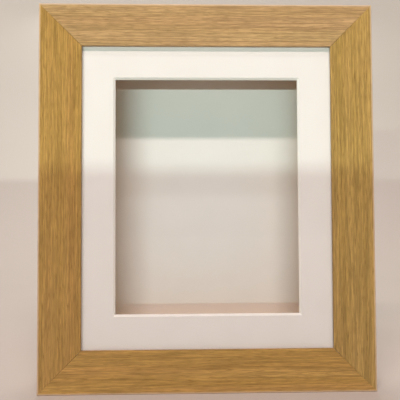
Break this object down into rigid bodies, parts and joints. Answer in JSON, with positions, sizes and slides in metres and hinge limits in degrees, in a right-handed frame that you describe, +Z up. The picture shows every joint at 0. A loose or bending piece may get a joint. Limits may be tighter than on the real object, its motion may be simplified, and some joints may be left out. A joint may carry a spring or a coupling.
{
  "type": "shadow box",
  "caption": "Deep mitred oak-veneer shadow box with glass, a white bevel-cut window mat, a deep recess, a lift-out back held by turn buttons, and D-ring hangers.",
  "frame": {"origin": "centre of the bottom of the bounding box, on the surface the box stands on", "axes": "+Z up, +X to the right as seen from the front, +Y towards the rear; the glass faces -Y"},
  "size_m": [0.3238, 0.0694, 0.3747],
  "materials": {
    "oak_veneer": "satin lacquered oak veneer",
    "bare_wood": "bare planed wood",
    "hardboard": "smooth brown hardboard",
    "mat_board": "matte white mat board with a white core",
    "white_board": "matte white backing board",
    "picture_glass": "clear picture glass",
    "zinc_steel": "zinc-plated steel",
    "nail_steel": "plain steel",
    "bumper_rubber": "matte black rubber"
  },
  "bodies": {
    "frame": {"rail_top": "oak_veneer", "rail_bottom": "oak_veneer", "stile_left": "oak_veneer", "stile_right": "oak_veneer", "corner_nail_top_left_1": "nail_steel", "corner_nail_top_left_2": "nail_steel", "corner_nail_top_right_1": "nail_steel", "corner_nail_top_right_2": "nail_steel", "corner_nail_bottom_left_1": "nail_steel", "corner_nail_bottom_left_2": "nail_steel", "corner_nail_bottom_right_1": "nail_steel", "corner_nail_bottom_right_2": "nail_steel", "glass_pane": "picture_glass", "window_mat": "mat_board", "spacer_top": "bare_wood", "spacer_bottom": "bare_wood", "spacer_left": "bare_wood", "spacer_right": "bare_wood", "button_screw_left_upper": "zinc_steel", "button_screw_left_lower": "zinc_steel", "button_screw_right_upper": "zinc_steel", "button_screw_right_lower": "zinc_steel", "button_screw_top_left": "zinc_steel", "button_screw_top_right": "zinc_steel", "button_screw_bottom_left": "zinc_steel", "button_screw_bottom_right": "zinc_steel", "strap_screw_left_upper": "zinc_steel", "strap_screw_left_lower": "zinc_steel", "strap_screw_right_upper": "zinc_steel", "strap_screw_right_lower": "zinc_steel", "hanger_strap_left": "zinc_steel", "hanger_strap_right": "zinc_steel", "bumper_top_left": "bumper_rubber", "bumper_top_right": "bumper_rubber", "bumper_bottom_left": "bumper_rubber", "bumper_bottom_right": "bumper_rubber"},
    "back": {"backing_board": "white_board", "back_panel": "hardboard"},
    "button_left_upper": {"turn_button_left_upper": "zinc_steel"},
    "button_left_lower": {"turn_button_left_lower": "zinc_steel"},
    "button_right_upper": {"turn_button_right_upper": "zinc_steel"},
    "button_right_lower": {"turn_button_right_lower": "zinc_steel"},
    "button_top_left": {"turn_button_top_left": "zinc_steel"},
    "button_top_right": {"turn_button_top_right": "zinc_steel"},
    "button_bottom_left": {"turn_button_bottom_left": "zinc_steel"},
    "button_bottom_right": {"turn_button_bottom_right": "zinc_steel"},
    "ring_left": {"hanger_ring_left": "zinc_steel"},
    "ring_right": {"hanger_ring_right": "zinc_steel"}
  },
  "joints": [
    {"name": "back_lift_out", "type": "slide", "parent": "frame", "child": "back", "axis": [0, 1, 0], "range_m": [0, 0.09]},
    {"name": "button_left_upper_turn", "type": "hinge", "parent": "frame", "child": "button_left_upper", "pos_m": [-0.138, 0.0299, 0.28732], "axis": [0, 1, 0], "continuous": true},
    {"name": "button_left_lower_turn", "type": "hinge", "parent": "frame", "child": "button_left_lower", "pos_m": [-0.138, 0.0299, 0.08732], "axis": [0, 1, 0], "continuous": true},
    {"name": "button_right_upper_turn", "type": "hinge", "parent": "frame", "child": "button_right_upper", "pos_m": [0.138, 0.0299, 0.28732], "axis": [0, 1, 0], "continuous": true},
    {"name": "button_right_lower_turn", "type": "hinge", "parent": "frame", "child": "button_right_lower", "pos_m": [0.138, 0.0299, 0.08732], "axis": [0, 1, 0], "continuous": true},
    {"name": "button_top_left_turn", "type": "hinge", "parent": "frame", "child": "button_top_left", "pos_m": [-0.07, 0.0299, 0.35073], "axis": [0, 1, 0], "continuous": true},
    {"name": "button_top_right_turn", "type": "hinge", "parent": "frame", "child": "button_top_right", "pos_m": [0.07, 0.0299, 0.35073], "axis": [0, 1, 0], "continuous": true},
    {"name": "button_bottom_left_turn", "type": "hinge", "parent": "frame", "child": "button_bottom_left", "pos_m": [-0.07, 0.0299, 0.02392], "axis": [0, 1, 0], "continuous": true},
    {"name": "button_bottom_right_turn", "type": "hinge", "parent": "frame", "child": "button_bottom_right", "pos_m": [0.07, 0.0299, 0.02392], "axis": [0, 1, 0], "continuous": true},
    {"name": "ring_left_swing", "type": "hinge", "parent": "frame", "child": "ring_left", "pos_m": [-0.14465, 0.03165, 0.24], "axis": [1, 0, 0], "range_deg": [0, 178]},
    {"name": "ring_right_swing", "type": "hinge", "parent": "frame", "child": "ring_right", "pos_m": [0.14465, 0.03165, 0.24], "axis": [1, 0, 0], "range_deg": [0, 178]}
  ]
}
